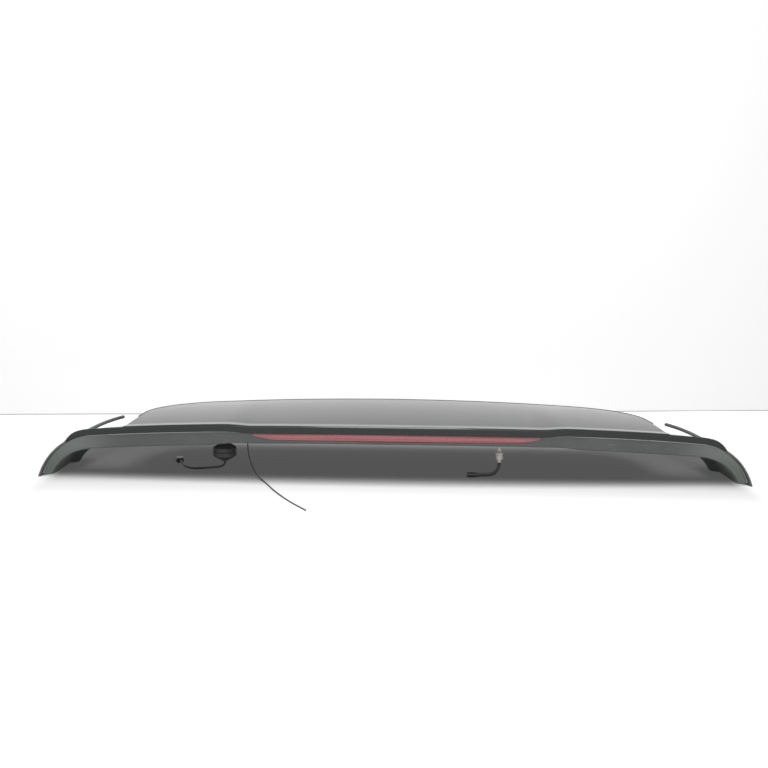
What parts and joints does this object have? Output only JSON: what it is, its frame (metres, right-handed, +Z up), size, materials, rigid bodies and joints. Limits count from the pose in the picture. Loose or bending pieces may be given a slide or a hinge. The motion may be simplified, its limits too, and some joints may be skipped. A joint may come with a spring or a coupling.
{
  "type": "car rear spoiler",
  "caption": "Roof spoiler for a car tailgate: gloss black panel over a dark plastic lip with a long red brake lamp, down-turned ears and side fins.",
  "frame": {"origin": "on the floor under the middle of the spoiler's box, loose leads left out", "axes": "+X across the car to the right as seen from behind, +Y to the front of the car, +Z up"},
  "size_m": [1.2046, 0.383, 0.1107],
  "materials": {
    "gloss_black_paint": "gloss black paint on moulded plastic",
    "dark_grey_plastic": "satin moulded dark grey plastic",
    "red_lens": "clear red moulded lens",
    "lamp_body": "moulded lamp housing",
    "board_green": "circuit board",
    "led_white": "light source body",
    "black_rubber": "black rubber",
    "foam": "closed cell foam",
    "zinc_steel": "zinc plated steel",
    "natural_nylon": "natural nylon",
    "black_plastic": "moulded black plastic",
    "wire_sheath": "black cable sheath"
  },
  "bodies": {
    "root": {"upper_shell": "gloss_black_paint", "lower_shell": "dark_grey_plastic", "left_side_fin": "dark_grey_plastic", "right_side_fin": "dark_grey_plastic", "lamp_lens": "red_lens", "lamp_gasket": "foam", "lamp_housing": "lamp_body", "lamp_circuit_board": "board_green", "lamp_leds": "led_white", "lamp_screws": "zinc_steel", "panel_edge_seal": "black_rubber", "mounting_studs": "zinc_steel", "stud_seals": "foam", "locating_pegs": "natural_nylon", "rubber_buffers": "black_rubber", "fin_screws": "zinc_steel", "wiring_boot": "black_rubber", "lamp_lead": "wire_sheath", "lamp_plug": "black_plastic", "aerial_bush": "black_rubber", "aerial_wire": "wire_sheath", "hose_bush": "black_rubber", "washer_valve": "natural_nylon", "washer_hose": "black_rubber", "hose_coupling": "black_plastic"}
  },
  "joints": []
}
